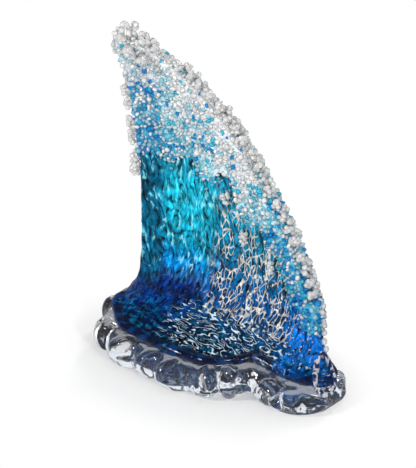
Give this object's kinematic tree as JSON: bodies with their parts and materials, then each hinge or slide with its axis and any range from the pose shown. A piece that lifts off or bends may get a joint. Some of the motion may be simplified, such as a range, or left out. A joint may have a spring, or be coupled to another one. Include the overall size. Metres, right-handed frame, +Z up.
{
  "type": "glass wave sculpture",
  "caption": "Breaking wave in hot-sculpted glass: a tall curling wall, streaked blue, with a crest of crushed-glass foam on a clear ruffled foot.",
  "frame": {"origin": "centre of the overall box in plan, on the plane that the foot rests on", "axes": "+Z up, +X along the wave from its tall end to its low end, +Y to the back, so that the hollow face looks along -Y"},
  "size_m": [0.303, 0.1354, 0.3539],
  "materials": {
    "clear_glass": "clear, fire polished",
    "cobalt_glass": "dark cobalt, fire polished",
    "streaked_glass": "teal, aqua and blue streaks with a cream network, glossy",
    "foam_glass": "crushed clear and aqua glass, fused and rough",
    "bead_glass": "clear fused beads"
  },
  "bodies": {
    "root": {"clear_base": "clear_glass", "cobalt_layer": "cobalt_glass", "coloured_wall": "streaked_glass", "foam_crest": "foam_glass", "rim_left": "clear_glass", "rim_front": "clear_glass", "rim_right": "clear_glass", "rim_back": "clear_glass", "tip_cluster": "bead_glass", "face_drips": "bead_glass", "corner_loop": "clear_glass", "crest_beads_1": "bead_glass", "crest_beads_2": "bead_glass", "crest_beads_3": "bead_glass", "crest_beads_4": "bead_glass", "crest_beads_5": "bead_glass", "left_drip_1": "bead_glass", "left_drip_2": "bead_glass", "left_drip_3": "bead_glass"}
  },
  "joints": []
}
